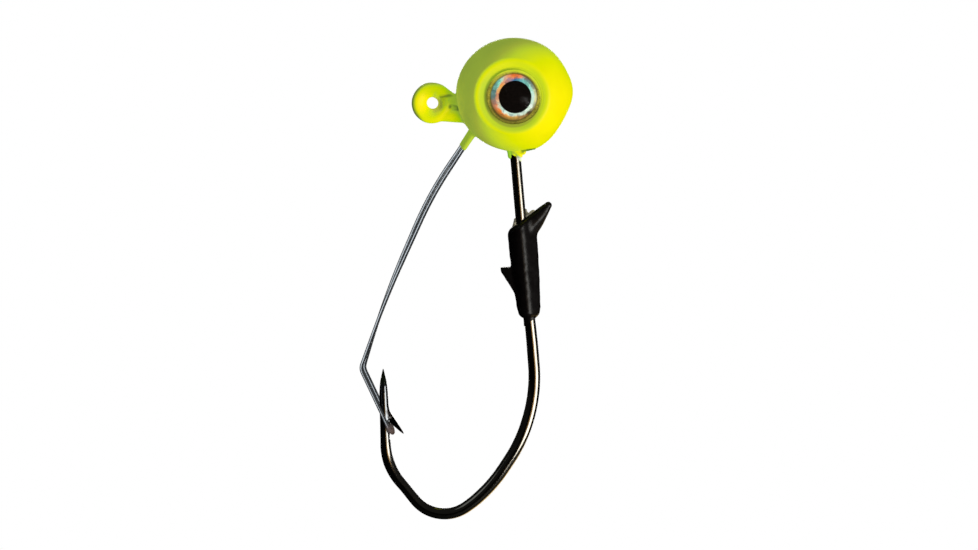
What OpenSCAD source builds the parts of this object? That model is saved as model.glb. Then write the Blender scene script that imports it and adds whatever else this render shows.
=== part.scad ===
// Weedless ball-head jig: lead ball head cast on a forged worm hook, with a
// spring-wire weed guard, a plastic bait keeper and a 3-D eye on each cheek.
//
// Frame: the whole hook lies in the XZ plane. The origin is the centre of the
// line tie, +X points from the line tie through the head towards its belly,
// +Z points from the hook bend up to the head, Y is across the hook.
// Millimetres.

/* [Wire sizes] */
// Hook wire diameter
hook_d = 1.14; // [1.0:0.02:1.2]
// Hook wire diameter just below the needle point, after grinding
spear_d = 1.00; // [0.9:0.02:1.0]
// Weed guard spring wire diameter
guard_d = 0.40; // [0.3:0.02:0.42]

/* [Line tie] */
// Radius of the line tie, to the centre of the wire
tie_r = 1.38; // [1.36:0.01:1.4]
// Radius of the coated line hole
tie_hole_r = 0.62; // [0.6:0.01:0.66]
// Radius of the coated wire around the line tie
tie_coat_r = 0.83; // [0.80:0.01:0.86]
// Angle at which the cut end of the tie runs back down to the neck
tag_slope = 30; // [26:1:34]
// Length of that straight cut end
tag_len = 2.0; // [1.6:0.1:2.2]

/* [Hook bends] */
// Lean of the straight shank from vertical
shank_lean = 5; // [5:0.5:5.5]
// Where the shank axis would meet the eye leg, from the line tie
shank_x = 8.64; // [8.6:0.02:8.7]
// Bend radius of the hidden bend (90 degrees less the lean) inside the head
neck_bend_r = 1.1; // [0.9:0.1:1.3]
// Shank length from the hidden bend to the first visible bend
shank_len = 26.3; // [26.2:0.05:26.4]
// Bends from the shank to the point: straight run before it, angle, radius
bend_1 = [0, 39.5, 16.0]; // [0:0.1:60]
// Second bend: straight run, angle, radius
bend_2 = [1.05, 20.5, 16.4]; // [0:0.1:60]
// Third bend: straight run, angle, radius
bend_3 = [0, 83.7, 4.1]; // [0:0.1:90]
// Fourth bend: straight run, angle, radius
bend_4 = [2.45, 39.1, 6.7]; // [0:0.1:60]
// Length of the straight spear, from the last bend to the tip
spear_len = 8.37; // [8.25:0.01:8.4]
// Length of the ground needle point
needle_len = 3.5; // [3.0:0.1:4.0]
// Distance from the tip back to the barb tip
barb_back = 7.24; // [7.1:0.02:7.3]

/* [Head] */
// Radius of the ball, over the coating
head_r = 6.20; // [6.15:0.01:6.2]
// Coating thickness on the ball
coat_t = 0.13; // [0.10:0.01:0.15]
// Eye diameter
eye_d = 6.0; // [5.8:0.1:6.0]
// Distance from the hook plane to the floor of an eye socket
socket_y = 4.40; // [4.35:0.05:4.5]
// Radius of the socket floor
socket_floor_r = 3.16; // [3.1:0.02:3.2]
// Radius of the socket mouth
socket_mouth_r = 4.0; // [3.9:0.05:4.1]
// Depth of the sloping socket wall
socket_depth = 0.36; // [0.3:0.02:0.4]

/* [Eye] */
// Thickness of the adhesive pad
pad_t = 0.20; // [0.15:0.01:0.25]
// Thickness of the iris foil
foil_t = 0.08; // [0.06:0.01:0.10]
// Pupil diameter
pupil_d = 3.5; // [3.3:0.1:3.6]
// Offset of the printed pupil from the middle of the eye, towards +X
pupil_off = 0.14; // [0:0.02:0.2]
// Thickness of the printed pupil
pupil_t = 0.04; // [0.03:0.01:0.05]
// Height of the straight edge of the clear dome
dome_edge = 0.35; // [0.3:0.05:0.4]
// Rise of the clear dome above its edge
dome_rise = 1.10; // [1.0:0.05:1.2]

/* [Weed guard] */
// Half of the gap between the two strands at the loop end, centre to centre
guard_half = 0.85; // [0.82:0.01:0.9]
// Bend radius of the kink, to the wire centre
kink_r = 1.2; // [0.8:0.1:1.3]
// Radius of the rolling cut at the guard's flex point
flex_r = 0.55; // [0.5:0.05:0.6]
// Running gap at the flex point
flex_gap = 0.06; // [0.04:0.01:0.08]

/* [Bait keeper] */
// Distance along the shank from its reference point to the top of the keeper
keeper_top = 6.3; // [6.2:0.1:6.4]
// Half thickness of the two barbs
keeper_fin = 0.9; // [0.8:0.05:1.0]

/* [Hidden] */
$fn = 64;

// Colours, as red, green, blue and, where clear, opacity
hook_colour = [0.13, 0.12, 0.11];
lead_colour = [0.45, 0.46, 0.48];
coat_colour = [0.80, 0.93, 0.08];
guard_colour = [0.78, 0.80, 0.82];
keeper_colour = [0.05, 0.05, 0.055];
adhesive_colour = [0.62, 0.60, 0.45, 0.8];
pad_colour = [0.9, 0.9, 0.85];
foil_colour = [0.85, 0.75, 0.45];
pupil_colour = [0.02, 0.02, 0.02];
dome_colour = [0.85, 0.9, 0.9, 0.35];

wire_r = hook_d / 2;
guard_r = guard_d / 2;

// ---------------------------------------------------------------- wires ----

// Excess of a knuckle over its wire, and the shortest straight worth making
hair = 0.001;

function unit(v) = v / norm(v);

// Ball between two lengths of wire, so they join up
module knuckle(radius) sphere(r = radius + hair, $fn = 48);

// Frame with the given axes and origin
module in_frame(x_dir, y_dir, z_dir, origin)
    multmatrix([for (i = [0:2]) [x_dir[i], y_dir[i], z_dir[i], origin[i]]])
        children();

// Frame at start with local Z along the unit vector dir
module along(start, dir) {
    x_dir = unit(cross(dir, abs(dir.y) < 0.9 ? [0, 1, 0] : [1, 0, 0]));
    in_frame(x_dir, cross(dir, x_dir), dir, start) children();
}

// Frame at the end of a straight feed and a bend towards +X
module past_bend(row)
    translate([row[2] * (1 - cos(row[1])), 0, row[0] + row[2] * sin(row[1])])
        rotate([0, row[1], 0]) children();

// Frame at the end of a whole forming table
module past_bends(rows, i = 0) {
    if (i < len(rows)) past_bend(rows[i]) past_bends(rows, i + 1) children();
    else children();
}

// Bent wire from a forming table. Each row is [straight, angle, radius];
// the wire starts along +Z and bends towards +X.
module bent_wire(rows, radius, i = 0) {
    feed = rows[i][0];
    angle = rows[i][1];
    bend_r = rows[i][2];
    if (feed > 0) cylinder(r = radius, h = feed);
    if (feed > 0 && angle > 0) translate([0, 0, feed]) knuckle(radius);
    if (angle > 0)
        translate([bend_r, 0, feed]) rotate([90, 0, 180])
            rotate_extrude(angle = angle) translate([bend_r, 0]) circle(r = radius);
    if (i + 1 < len(rows))
        past_bend(rows[i]) {
            knuckle(radius);
            bent_wire(rows, radius, i + 1);
        }
}

// Bent wire through a list of corner points, each rounded to its own radius
module cornered_wire(corners, bend_radii, radius) {
    last = len(corners) - 1;
    dirs = [for (i = [0:last - 1]) unit(corners[i + 1] - corners[i])];
    angles = [for (i = [0:last])
        (i == 0 || i == last) ? 0 : acos(min(1, dirs[i - 1] * dirs[i]))];
    // tangent length taken off each side of a corner
    trims = [for (i = [0:last]) bend_radii[i] * tan(angles[i] / 2)];
    for (i = [0:last - 1]) {
        run = norm(corners[i + 1] - corners[i]) - trims[i] - trims[i + 1];
        along(corners[i] + dirs[i] * trims[i], dirs[i]) {
            if (i > 0) knuckle(radius);
            if (run > hair) {
                cylinder(r = radius, h = run);
                if (i < last - 1) translate([0, 0, run]) knuckle(radius);
            }
        }
    }
    for (i = [1:last - 1]) {
        before = dirs[i - 1];
        // from the start of the bend towards its centre
        inward = unit(dirs[i] - (before * dirs[i]) * before);
        centre = corners[i] - before * trims[i] + inward * bend_radii[i];
        in_frame(-inward, before, cross(-inward, before), centre)
            rotate_extrude(angle = angles[i]) translate([bend_radii[i], 0]) circle(r = radius);
    }
}

// ------------------------------------------------------------ hook wire ----

// Length of the eye leg, from under the line tie to the hidden bend
eye_leg = shank_x - neck_bend_r * tan((90 - shank_lean) / 2);
// Length of shank the head and its coating are fitted round
core_shank = 8;

// Forming tables: straight, angle, radius
neck_bend = [0, 90 - shank_lean, neck_bend_r];
hook_bends = [neck_bend, [shank_len, bend_1[1], bend_1[2]], bend_2, bend_3, bend_4];

// Reference point on the shank axis, just under the head
shank_ref_drop = 6.816;
shank_ref = [shank_x + (shank_ref_drop - tie_r) * tan(shank_lean), 0, -shank_ref_drop];

// Needle point: a short shoulder, then a long taper to the tip
shoulder_len = needle_len * 0.3;
shoulder_r = spear_d / 2 * 0.92;
tip_r = 0.04;

// Sliced barb: distance into the gap, height from the tip
barb_outline = [[0, -3.9], [0.60, -4.4], [0.88, -5.3],
                [2.03, -barb_back], [0.95, -6.45], [0, -6.1]];
barb_t = 0.40;

// Cut end and line tie, then the eye leg that runs into the head
module tie_wire(radius, leg) {
    tag_x = tie_r * sin(tag_slope) + tag_len * cos(tag_slope);
    tag_z = tie_r * cos(tag_slope) - tag_len * sin(tag_slope);
    translate([tag_x, 0, tag_z]) rotate([0, -(90 - tag_slope), 0]) rotate([0, 0, 180])
        bent_wire([[tag_len, 180 + tag_slope, tie_r]], radius);
    translate([0, 0, -tie_r]) rotate([0, 90, 0]) {
        knuckle(radius);
        cylinder(r = radius, h = leg);
    }
}

// Frame at the end of the eye leg, local Z along the leg
module at_neck() translate([eye_leg, 0, -tie_r]) rotate([0, 90, 0]) children();

// Line tie and eye leg, then the wire formed to the given table
module hook_wire(rows) {
    tie_wire(wire_r, eye_leg);
    at_neck() {
        knuckle(wire_r);
        bent_wire(rows, wire_r);
    }
}

// The part of the hook that the head and its coating are fitted round
module hook_core() hook_wire([neck_bend, [core_shank, 0, 0]]);

// Frame at the start of the spear: local Z runs up the spear to the tip,
// local X points into the gap
module at_spear() at_neck() past_bends(hook_bends) children();

// Frame on the shank: local Z runs down the shank, local X points to the
// outside of the hook
module on_shank()
    translate(shank_ref) rotate([0, 180 - shank_lean, 0]) mirror([1, 0, 0]) children();

// ---------------------------------------------------------------- guard ----

// Stations down the guard: midline x and z, bend radius, then the offset of a
// strand from the midline in the hook plane and across it. The strands leave
// the head side by side and open into a loop round the spear.
guard_stations = [
    [7.40, -2.55, 0, 0.15, 0.16],                     // tail inside the head
    [4.79, -2.55, 0.8, 0.15, 0.15],                   // turn out of the head
    [-0.168, -9.983, 40, 0.225, 0.32],                // gentle bow
    [-5.289, -21.347, 98, 0.07, 0.63],                // gentle bow
    [-7.70, -28.97, kink_r, -0.13, guard_half],       // kink
    [-4.36, -36.08, 0, -0.13, guard_half]             // loop end
];
guard_last = len(guard_stations) - 1;

// Distance from the turn inside the head to the point where the guard flexes
flex_run = 5.2;
// Extra length of moving wire above the flex point, before it is trimmed
flex_overlap = 1;
// Block that trims the moving wire on the head side of the flex point
trim_block = [24, 8, 14];

function guard_mid(i) = [guard_stations[i][0], guard_stations[i][1]];
function guard_bend(i) = guard_stations[i][2];
function guard_side(i) = guard_stations[i][3];
function guard_cross(i) = guard_stations[i][4];

function quarter_turn(v) = [-v[1], v[0]];
function guard_dir(i) = unit(guard_mid(i + 1) - guard_mid(i));

// Offset direction at a station, scaled to keep both neighbouring runs parallel
function miter(i) =
    let (normal_in = quarter_turn(guard_dir(max(i - 1, 0))),
         normal_out = quarter_turn(guard_dir(min(i, guard_last - 1))))
        (normal_in + normal_out) / (1 + normal_in * normal_out);

// Corner i of a strand: side is 1 for the strand at -Y, -1 for the one at +Y
function strand(i, side) =
    let (p = guard_mid(i) + side * guard_side(i) * miter(i))
        [p[0], -side * guard_cross(i), p[1]];

function strand_dir(side) = unit(strand(2, side) - strand(1, side));

// Point on a strand, a given distance below its turn inside the head
function on_strand(side, distance) = strand(1, side) + distance * strand_dir(side);

loop_r = norm([guard_side(guard_last), guard_half]);
guard_points = concat(
    [on_strand(1, flex_run - flex_overlap)],
    [for (i = [2:guard_last]) strand(i, 1)],
    [for (i = [guard_last:-1:2]) strand(i, -1)],
    [on_strand(-1, flex_run - flex_overlap)]);
guard_radii = concat(
    [0],
    [for (i = [2:guard_last - 1]) guard_bend(i)],
    [loop_r, loop_r],
    [for (i = [guard_last - 1:-1:2]) guard_bend(i)],
    [0]);

// Flex axis, across the middle of the two strands, and the wire's slope there
flex_mid = guard_mid(1) + flex_run * guard_dir(1);
flex_centre = [flex_mid[0], 0, flex_mid[1]];
flex_heading = atan(guard_dir(1)[0] / guard_dir(1)[1]);

// The two legs set in the head, to a given distance below their turn
module guard_legs(distance)
    for (side = [1, -1])
        cornered_wire([strand(0, side), strand(1, side), on_strand(side, distance)],
                      [0, guard_bend(1), 0], guard_r);

// Round bearing about the flex axis
module flex_bearing(radius)
    translate(flex_centre) rotate([90, 0, 0]) cylinder(r = radius, h = 10, center = true);

// Everything on the head side of the flex point, except the bearing
module head_side() {
    difference() {
        translate(flex_centre) rotate([0, flex_heading, 0])
            translate([-trim_block.x / 2, -trim_block.y / 2, 0]) cube(trim_block);
        flex_bearing(flex_r);
    }
}

// ----------------------------------------------------------------- head ----

// Spheres that shape the ball: centre, and how far the radius is under head_r
ball_spheres = [
    [[8.54, 0, 0.97], 0.18],
    [[8.93, 0, 0.95], 0],
    [[10.90, 0, 1.30], 1.77]    // blunt belly
];

// Eye centre in the hook plane
eye_x = 9.00;
eye_z = 0.86;

// The socket cutter carries the sloping wall on past the mouth
socket_cut_r = socket_mouth_r + 0.4;
socket_cut_h = socket_depth * (socket_cut_r - socket_floor_r)
             / (socket_mouth_r - socket_floor_r);

// Lengths of guard leg that the casting and the coating are cleared for
casting_leg = 3;
coat_leg = 4;

// Coating on the wires: its thickness, and its length along the eye leg
wire_coat_t = 0.13;
tie_coat_leg = 3.2;
// Coating sleeve on each guard strand: start below the turn, and length
sleeve_start = 0.4;
sleeve_len = 2.3;
// Coating collar on the shank: height above the reference point, and length
collar_rise = 2.6;
collar_len = 1.85;

// The ball, shrunk by inset
module ball(inset)
    for (shape = ball_spheres)
        translate(shape[0]) sphere(r = head_r - shape[1] - inset, $fn = 96);

// Frame on a socket floor, sunk by a given depth, local Z pointing outwards:
// side is -1 for the left cheek, at -Y, and 1 for the right cheek, at +Y
module on_cheek(side, sink = 0)
    translate([eye_x, side * (socket_y - sink), eye_z]) rotate([-90 * side, 0, 0]) children();

// Both eye sockets, deepened by sink
module sockets(sink) {
    for (side = [-1, 1])
        on_cheek(side, sink) {
            cylinder(r1 = socket_floor_r, r2 = socket_cut_r, h = socket_cut_h);
            translate([0, 0, socket_cut_h]) cylinder(r = socket_cut_r, h = 4);
        }
}

// Coating drawn down one guard strand
module strand_sleeve(side)
    along(on_strand(side, sleeve_start), strand_dir(side))
        cylinder(r = guard_r + wire_coat_t, h = sleeve_len);

module casting_body() {
    difference() {
        ball(coat_t);
        sockets(coat_t);
    }
}

// --------------------------------------------------------------- keeper ----

// Half outline of the sleeve that grips the shank, tapering to a thin collar:
// radius, distance down the shank
keeper_bottom = 17.4;
keeper_sleeve = [
    [wire_r, keeper_top], [0.85, keeper_top], [1.42, keeper_top + 0.6],
    [1.58, keeper_top + 1.25], [1.12, 16.0], [0.95, 16.45],
    [0.74, 16.6], [0.70, keeper_bottom], [wire_r, keeper_bottom]
];

// Upper barb: a blunt cone pointing up and out
upper_barb_root = [1.0, 0, 7.0];
upper_barb_tilt = 133;
upper_barb_root_r = 1.30;
upper_barb_tip_r = 0.34;
upper_barb_len = 3.2;

// Lower barb, on the gap side: local x, distance down the shank
lower_barb = [
    [-0.6, 10.9], [-1.60, 10.9], [-1.85, 11.12], [-2.46, 11.08],
    [-2.60, 11.30], [-1.13, 14.25], [-0.6, 14.6]
];

// Adhesive: fillet on the keeper's top face, and bead in the upper barb's crook
fillet_h = 0.95;
fillet_top_r = 0.70;
fillet_foot_r = 0.98;
bead_centre = [0.9, 0, 5.55];
bead_r = 0.62;

module shank_bore() cylinder(r = wire_r, h = 30);

module keeper_barbs() {
    translate(upper_barb_root) rotate([0, upper_barb_tilt, 0]) {
        cylinder(r1 = upper_barb_root_r, r2 = upper_barb_tip_r, h = upper_barb_len);
        translate([0, 0, upper_barb_len]) sphere(r = upper_barb_tip_r);
    }
    rotate([90, 0, 0]) linear_extrude(height = 4, center = true) polygon(lower_barb);
}

module keeper_body() {
    rotate_extrude() polygon(keeper_sleeve);
    difference() {
        // flat sides trim both barbs to the fin thickness
        intersection() {
            keeper_barbs();
            translate([-4, -keeper_fin, 3]) cube([8, 2 * keeper_fin, 13]);
        }
        shank_bore();
    }
}

// ----------------------------------------------------------------- eyes ----

eye_r = eye_d / 2;
// How far the pad and the foil stop short of the eye's edge
pad_inset = 0.15;
foil_inset = 0.04;

// Heights above the socket floor, and the radius of the dome's cap
foil_top = pad_t + foil_t;
cap_base = foil_top + dome_edge;
cap_r = (pow(eye_r, 2) + pow(dome_rise, 2)) / (2 * dome_rise);

module pupil_disc()
    translate([pupil_off, 0, foil_top]) cylinder(r = pupil_d / 2, h = pupil_t);

module eye_adhesive_pad(side)
    color(pad_colour) on_cheek(side) cylinder(r = eye_r - pad_inset, h = pad_t);

module eye_iris_foil(side)
    color(foil_colour) on_cheek(side)
        translate([0, 0, pad_t]) cylinder(r = eye_r - foil_inset, h = foil_t);

module eye_pupil(side) color(pupil_colour) on_cheek(side) pupil_disc();

module eye_dome(side) {
    color(dome_colour) on_cheek(side)
        difference() {
            union() {
                translate([0, 0, foil_top]) cylinder(r = eye_r, h = dome_edge);
                intersection() {
                    translate([0, 0, cap_base + dome_rise - cap_r]) sphere(r = cap_r, $fn = 96);
                    translate([0, 0, cap_base]) cylinder(r = eye_d, h = 4);
                }
            }
            pupil_disc();
        }
}

// ---------------------------------------------------------------- nodes ----

module hook() {
    color(hook_colour) {
        hook_wire(concat(hook_bends, [[spear_len - needle_len, 0, 0]]));
        at_spear() {
            translate([0, 0, spear_len - needle_len])
                cylinder(r1 = wire_r, r2 = shoulder_r, h = shoulder_len);
            translate([0, 0, spear_len - needle_len + shoulder_len])
                cylinder(r1 = shoulder_r, r2 = tip_r, h = needle_len - shoulder_len);
            translate([0, 0, spear_len])
                rotate([90, 0, 0]) linear_extrude(height = barb_t, center = true)
                    polygon(barb_outline);
        }
    }
}

module head_casting() {
    color(lead_colour)
        difference() {
            casting_body();
            hook_core();
            guard_legs(casting_leg);
        }
}

module powder_coat() {
    color(coat_colour)
        difference() {
            union() {
                ball(0);
                tie_wire(tie_coat_r, tie_coat_leg);
                // the coating closes the ring between the cut end and the leg
                rotate([90, 0, 0]) rotate_extrude()
                    translate([tie_r, 0]) circle(r = tie_coat_r - 0.01);
                for (side = [1, -1]) strand_sleeve(side);
                // collar where the shank leaves the head
                on_shank() translate([0, 0, -collar_rise])
                    cylinder(r = wire_r + wire_coat_t, h = collar_len);
            }
            rotate([90, 0, 0]) cylinder(r = tie_hole_r, h = 4, center = true);
            sockets(0);
            casting_body();
            hook_core();
            guard_legs(coat_leg);
        }
}

module guard_root() {
    color(guard_colour)
        difference() {
            guard_legs(flex_run);
            flex_bearing(flex_r + flex_gap);
        }
}

module weed_guard() {
    color(guard_colour)
        difference() {
            cornered_wire(guard_points, guard_radii, guard_r);
            head_side();
        }
}

module bait_keeper() color(keeper_colour) on_shank() keeper_body();

module keeper_adhesive() {
    color(adhesive_colour)
        on_shank() difference() {
            union() {
                translate([0, 0, keeper_top - fillet_h])
                    cylinder(r1 = fillet_top_r, r2 = fillet_foot_r, h = fillet_h);
                translate(bead_centre) sphere(r = bead_r);
            }
            shank_bore();
            keeper_body();
            // wiped off the -Y side
            translate([-3, -3, 4]) cube([6, 2.8, 4]);
        }
}

module left_eye_dome() eye_dome(-1);
module left_eye_pupil() eye_pupil(-1);
module left_eye_iris_foil() eye_iris_foil(-1);
module left_eye_adhesive_pad() eye_adhesive_pad(-1);
module right_eye_dome() eye_dome(1);
module right_eye_pupil() eye_pupil(1);
module right_eye_iris_foil() eye_iris_foil(1);
module right_eye_adhesive_pad() eye_adhesive_pad(1);

hook();
head_casting();
powder_coat();
guard_root();
weed_guard();
bait_keeper();
keeper_adhesive();
left_eye_dome();
left_eye_pupil();
left_eye_iris_foil();
left_eye_adhesive_pad();
right_eye_dome();
right_eye_pupil();
right_eye_iris_foil();
right_eye_adhesive_pad();
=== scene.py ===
"""A fishing jig: a powder-coated ball head with two eyes, a hook, a bait keeper and a weed guard.

The origin is the middle of the line tie's hole. The hook lies in the XZ plane with its shank
running down; its gap and point are on the -X side. The left eye faces -Y, as the camera sees it.
Shapes are given in millimetres; the scene is in metres.
"""
import bpy
import bmesh
import numpy as np
from math import acos, asin, cos, degrees, hypot, pi, radians, sin, tan
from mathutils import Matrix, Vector


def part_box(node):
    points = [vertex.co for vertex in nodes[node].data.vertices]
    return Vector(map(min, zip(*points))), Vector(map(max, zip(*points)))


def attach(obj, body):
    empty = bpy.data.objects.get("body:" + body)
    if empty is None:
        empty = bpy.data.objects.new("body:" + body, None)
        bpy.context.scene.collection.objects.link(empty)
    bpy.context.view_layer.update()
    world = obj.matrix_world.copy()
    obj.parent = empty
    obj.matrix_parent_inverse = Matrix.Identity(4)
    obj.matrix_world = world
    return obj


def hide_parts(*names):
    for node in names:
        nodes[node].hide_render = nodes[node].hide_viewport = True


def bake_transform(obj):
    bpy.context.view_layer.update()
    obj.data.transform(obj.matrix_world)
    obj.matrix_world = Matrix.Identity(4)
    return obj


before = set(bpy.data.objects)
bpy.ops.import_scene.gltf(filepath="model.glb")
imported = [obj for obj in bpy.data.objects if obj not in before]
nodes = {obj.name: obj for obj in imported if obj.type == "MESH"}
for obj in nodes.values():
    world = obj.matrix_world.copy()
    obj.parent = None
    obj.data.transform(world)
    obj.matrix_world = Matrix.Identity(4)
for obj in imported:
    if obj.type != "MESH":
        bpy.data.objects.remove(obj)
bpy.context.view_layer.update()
MM = 0.001


# ------------------------------------------------------------ mesh helpers --

def shade_smooth(mesh):
    mesh.polygons.foreach_set("use_smooth", [True] * len(mesh.polygons))


def new_object(name, points, faces):
    """A smooth mesh object from points in mm and faces, an array of quads or a list."""
    mesh = bpy.data.meshes.new(name)
    points = np.asarray(points, dtype=np.float64) * MM
    if isinstance(faces, np.ndarray):
        count, sides = faces.shape
        mesh.vertices.add(len(points))
        mesh.vertices.foreach_set("co", points.astype(np.float32).ravel())
        mesh.loops.add(count * sides)
        mesh.loops.foreach_set("vertex_index", faces.ravel().astype(np.int32))
        mesh.polygons.add(count)
        mesh.polygons.foreach_set("loop_start", (np.arange(count) * sides).astype(np.int32))
        mesh.update(calc_edges=True)
    else:
        mesh.from_pydata([tuple(point) for point in points], [],
                         [[int(i) for i in face] for face in faces])
    mesh.validate()
    mesh.update()
    shade_smooth(mesh)
    obj = bpy.data.objects.new(name, mesh)
    bpy.context.scene.collection.objects.link(obj)
    return obj


def fix_normals(obj):
    mesh = bmesh.new()
    mesh.from_mesh(obj.data)
    bmesh.ops.recalc_face_normals(mesh, faces=mesh.faces)
    mesh.to_mesh(obj.data)
    mesh.free()
    shade_smooth(obj.data)
    return obj


def join(name, parts):
    """One mesh object in place of several."""
    points, faces, offset = [], [], 0
    for part in parts:
        coords = np.zeros(len(part.data.vertices) * 3)
        part.data.vertices.foreach_get("co", coords)
        points.append(coords.reshape(-1, 3) / MM)
        for polygon in part.data.polygons:
            faces.append([i + offset for i in polygon.vertices])
        offset += len(part.data.vertices)
    for part in parts:
        mesh = part.data
        bpy.data.objects.remove(part)
        bpy.data.meshes.remove(mesh)
    return new_object(name, np.vstack(points), faces)


def unit(vector):
    vector = np.array(vector, float)
    return vector / np.linalg.norm(vector)


def sweep(name, path, widths, sides, flat=None):
    """A closed tube along path (mm). widths is the half width in the XZ plane; flat, if
    given, is the half width along Y."""
    path = np.asarray(path, float)
    count = len(path)
    tangent = np.zeros_like(path)
    tangent[1:-1] = path[2:] - path[:-2]
    tangent[0], tangent[-1] = path[1] - path[0], path[-1] - path[-2]
    tangent /= np.linalg.norm(tangent, axis=1)[:, None]
    # a frame carried along the path without twist, starting from Y
    across = np.zeros_like(path)
    start = np.array((0, 1, 0), float)
    across[0] = unit(start - (start @ tangent[0]) * tangent[0])
    for i in range(1, count):
        across[i] = unit(across[i - 1] - (across[i - 1] @ tangent[i]) * tangent[i])
    in_plane = np.cross(tangent, across)
    widths = np.asarray(widths, float) * np.ones(count)
    flat = widths if flat is None else np.asarray(flat, float) * np.ones(count)
    angle = np.linspace(0, 2 * pi, sides, endpoint=False)
    rings = (path[:, None, :]
             + (np.cos(angle)[None, :, None] * across[:, None, :]) * flat[:, None, None]
             + (np.sin(angle)[None, :, None] * in_plane[:, None, :]) * widths[:, None, None])
    i = np.arange(count - 1)[:, None] * sides
    j = np.arange(sides)[None, :]
    after = (j + 1) % sides
    faces = np.stack([i + j, i + after, i + sides + after, i + sides + j], -1)
    faces = faces.reshape(-1, 4).tolist()
    faces.append(tuple(range(sides - 1, -1, -1)))
    faces.append(tuple((count - 1) * sides + k for k in range(sides)))
    return fix_normals(new_object(name, rings.reshape(-1, 3), faces))


def lathe(name, profile, origin, axis, reference, segments):
    """Turns (radius, height) pairs (mm) round an axis through origin."""
    origin, axis, reference = (np.array(item, float) for item in (origin, axis, reference))
    sideways = np.cross(axis, reference)
    points, rows = [], []
    for radius, height in profile:
        if radius < 1e-6:
            rows.append([len(points)])
            points.append(origin + axis * height)
            continue
        rows.append(list(range(len(points), len(points) + segments)))
        for k in range(segments):
            angle = 2 * pi * k / segments
            points.append(origin + axis * height
                          + radius * (cos(angle) * reference + sin(angle) * sideways))
    faces = []
    for lower, upper in zip(rows[:-1], rows[1:]):
        for k in range(segments):
            after = (k + 1) % segments
            if len(lower) == 1:
                faces.append((lower[0], upper[k], upper[after]))
            elif len(upper) == 1:
                faces.append((lower[k], lower[after], upper[0]))
            else:
                faces.append((lower[k], lower[after], upper[after], upper[k]))
    return fix_normals(new_object(name, np.array(points), faces))


# -------------------------------------------------- meshes of implicit forms --
# A field takes x, y, z in mm and is below 0 inside the form.
LOW, HIGH = slice(0, -1), slice(1, None)
SQUARE = ((0, 0), (1, 0), (0, 1), (1, 1))


def pick(parts):
    """An index of a 3D grid from {axis: slice}."""
    return tuple(parts.get(axis, slice(None)) for axis in range(3))


def crossings(inside, axis):
    """Which grid edges along axis cross the surface."""
    return inside[pick({axis: LOW})] != inside[pick({axis: HIGH})]


def shifted(cells, first, second, step_first, step_second):
    moved = cells.copy()
    moved[:, first] += step_first
    moved[:, second] += step_second
    return moved


def fill_checkerboards(values, inside, cell):
    """Leaves no checkerboard faces in the grid, so every surface edge has two faces."""
    for _ in range(6):
        found = 0
        for first, second in ((0, 1), (0, 2), (1, 2)):
            c00, c10, c01, c11 = (inside[pick({first: (LOW, HIGH)[i], second: (LOW, HIGH)[j]})]
                                  for i, j in SQUARE)
            bad = np.argwhere((c00 == c11) & (c10 == c01) & (c00 != c10))
            found += len(bad)
            for base in bad:
                for i, j in SQUARE:
                    corner = base.copy()
                    corner[first] += i
                    corner[second] += j
                    corner = tuple(corner)
                    if not inside[corner]:
                        inside[corner] = True
                        values[corner] = -0.05 * cell
                        break
        if not found:
            break


def net_points(values, inside):
    """One point in each cell the surface passes, in grid units, and which cells those are."""
    shape = tuple(n - 1 for n in values.shape)
    total = np.zeros((*shape, 3), np.float32)
    count = np.zeros(shape, np.float32)
    for axis in range(3):
        near_end, far_end = values[pick({axis: LOW})], values[pick({axis: HIGH})]
        cross = crossings(inside, axis)
        edges = np.argwhere(cross)
        near_end, far_end = near_end[cross], far_end[cross]
        hits = edges.astype(np.float32)
        hits[:, axis] += near_end / (near_end - far_end)
        first, second = [k for k in range(3) if k != axis]
        for i in (0, -1):
            for j in (0, -1):
                cells = shifted(edges, first, second, i, j)
                valid = (cells >= 0).all(1) & (cells < np.array(shape)).all(1)
                index = tuple(cells[valid].T)
                np.add.at(count, index, 1)
                for k in range(3):
                    np.add.at(total[..., k], index, hits[valid, k])
    active = count > 0
    return total[active] / count[active][:, None], active


def net_quads(inside, active):
    """A quad round each grid edge that crosses the surface, facing out."""
    number = -np.ones(active.shape, np.int64)
    number[active] = np.arange(int(active.sum()))
    quads = []
    for axis in range(3):
        edges = np.argwhere(crossings(inside, axis))
        first, second = [(1, 2), (2, 0), (0, 1)][axis]
        edges = edges[(edges[:, first] > 0) & (edges[:, second] > 0)
                      & (edges[:, first] < active.shape[first])
                      & (edges[:, second] < active.shape[second])]
        quad = np.stack([number[tuple(shifted(edges, first, second, i, j).T)]
                         for i, j in ((-1, -1), (0, -1), (0, 0), (-1, 0))], 1)
        outside = ~inside[tuple(edges.T)]
        quad[outside] = quad[outside][:, ::-1]
        quads.append(quad)
    return np.vstack(quads)


def pull_to_surface(points, field, cell):
    """Newton steps along the field's gradient, each at most half a cell long."""
    probe = 0.004
    for _ in range(4):
        x, y, z = points.T
        value = field(x, y, z)
        slope = np.stack([field(x + probe, y, z) - field(x - probe, y, z),
                          field(x, y + probe, z) - field(x, y - probe, z),
                          field(x, y, z + probe) - field(x, y, z - probe)], 1) / (2 * probe)
        step = -(value / np.maximum((slope * slope).sum(1), 0.05))[:, None] * slope
        length = np.linalg.norm(step, axis=1)
        step *= np.minimum(1, 0.5 * cell / np.maximum(length, 1e-9))[:, None]
        points += step


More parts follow.
